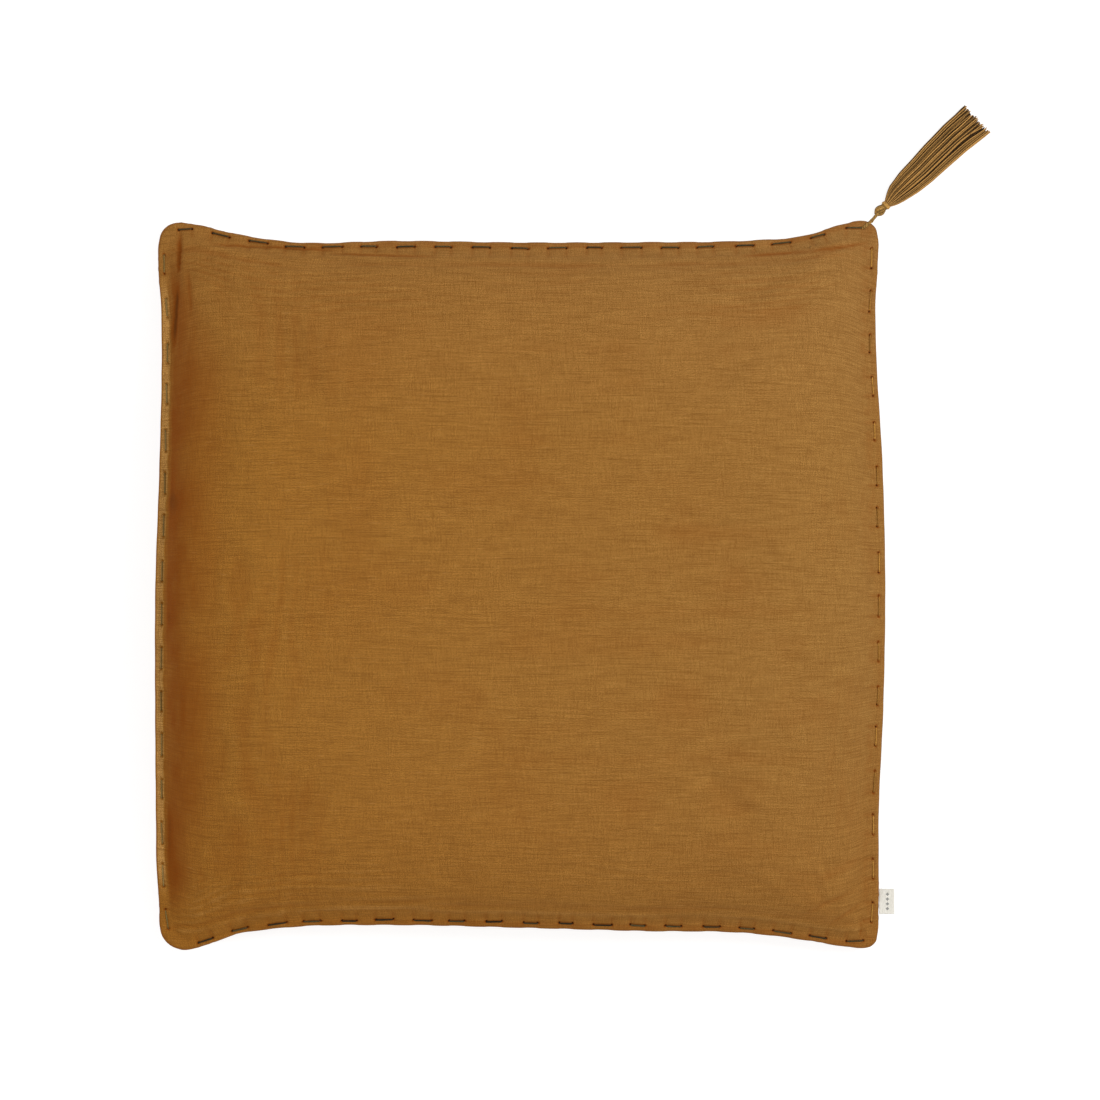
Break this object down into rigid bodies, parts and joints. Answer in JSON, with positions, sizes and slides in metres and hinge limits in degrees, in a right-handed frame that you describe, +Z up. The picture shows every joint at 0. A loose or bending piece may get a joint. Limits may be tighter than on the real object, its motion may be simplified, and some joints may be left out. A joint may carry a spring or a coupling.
{
  "type": "floor cushion",
  "caption": "Square floor cushion with a zipped cover, running-stitched flat edge, inner cushion, side tab and a corner tassel that swings.",
  "frame": {"origin": "on the ground under the middle of the cushion, on the flat underside", "axes": "+Z up out of the front panel; +Y towards the edge whose +X end carries the tassel; the side tab is in the +X edge"},
  "size_m": [0.6986, 0.7055, 0.115],
  "materials": {
    "cover_gauze": "crinkled double gauze cotton, ochre brown, matt",
    "edge_thread": "thick matt cotton thread, dark olive",
    "tassel_thread": "soft cotton yarn, brown",
    "tab_weave": "off-white damask-woven tape",
    "zip_tape": "dense woven polyester tape",
    "zip_teeth": "moulded nylon coil",
    "zip_metal": "antique brass, satin",
    "casing_cotton": "plain undyed cotton",
    "filling_fibre": "loose hollow fibre",
    "care_satin": "white satin tape, blank"
  },
  "bodies": {
    "cushion": {"cover_front": "cover_gauze", "cover_back_main": "cover_gauze", "cover_back_strip": "cover_gauze", "edge_stitch_right": "edge_thread", "edge_stitch_top": "edge_thread", "edge_stitch_left": "edge_thread", "edge_stitch_bottom": "edge_thread", "insert_casing_top": "casing_cotton", "insert_casing_bottom": "casing_cotton", "insert_filling": "filling_fibre", "zip_tape_main": "zip_tape", "zip_tape_strip": "zip_tape", "zip_teeth_main": "zip_teeth", "zip_teeth_strip": "zip_teeth", "zip_top_stop_main": "zip_metal", "zip_top_stop_strip": "zip_metal", "zip_bottom_stop": "zip_metal", "care_label": "care_satin", "tassel_anchor": "tassel_thread"},
    "slider": {"zip_slider": "zip_metal"},
    "pull_tab": {"zip_pull": "zip_metal"},
    "side_tab": {"side_label": "tab_weave"},
    "corner_knot": {"tassel_knot": "tassel_thread"},
    "tassel_hanger": {"tassel_cord": "tassel_thread"},
    "tassel": {"tassel_head": "tassel_thread", "tassel_neck_binding": "tassel_thread", "tassel_skirt": "tassel_thread"}
  },
  "joints": [
    {"name": "zip_slide", "type": "slide", "parent": "cushion", "child": "slider", "axis": [-1, 0, 0], "range_m": [0, 0.394]},
    {"name": "pull_tab_swing", "type": "hinge", "parent": "slider", "child": "pull_tab", "pos_m": [0.198, -0.17, 0.0013], "axis": [0, -1, 0], "range_deg": [0, 175]},
    {"name": "side_tab_flap", "type": "hinge", "parent": "cushion", "child": "side_tab", "pos_m": [0.3004, -0.2635, 0.0268], "axis": [0, 1, 0], "range_deg": [-75, 75]},
    {"name": "tassel_turn", "type": "hinge", "parent": "cushion", "child": "corner_knot", "pos_m": [0.2938, 0.3043, 0.0212], "axis": [0, 0, 1], "range_deg": [-50, 50]},
    {"name": "tassel_hang", "type": "hinge", "parent": "corner_knot", "child": "tassel_hanger", "pos_m": [0.2938, 0.3043, 0.0212], "axis": [0.6782, -0.7349, 0], "range_deg": [-34, 33]},
    {"name": "tassel_tilt", "type": "hinge", "parent": "tassel_hanger", "child": "tassel", "pos_m": [0.2991, 0.3106, 0.0092], "axis": [0.6782, -0.7349, 0], "range_deg": [-90, 45]}
  ]
}
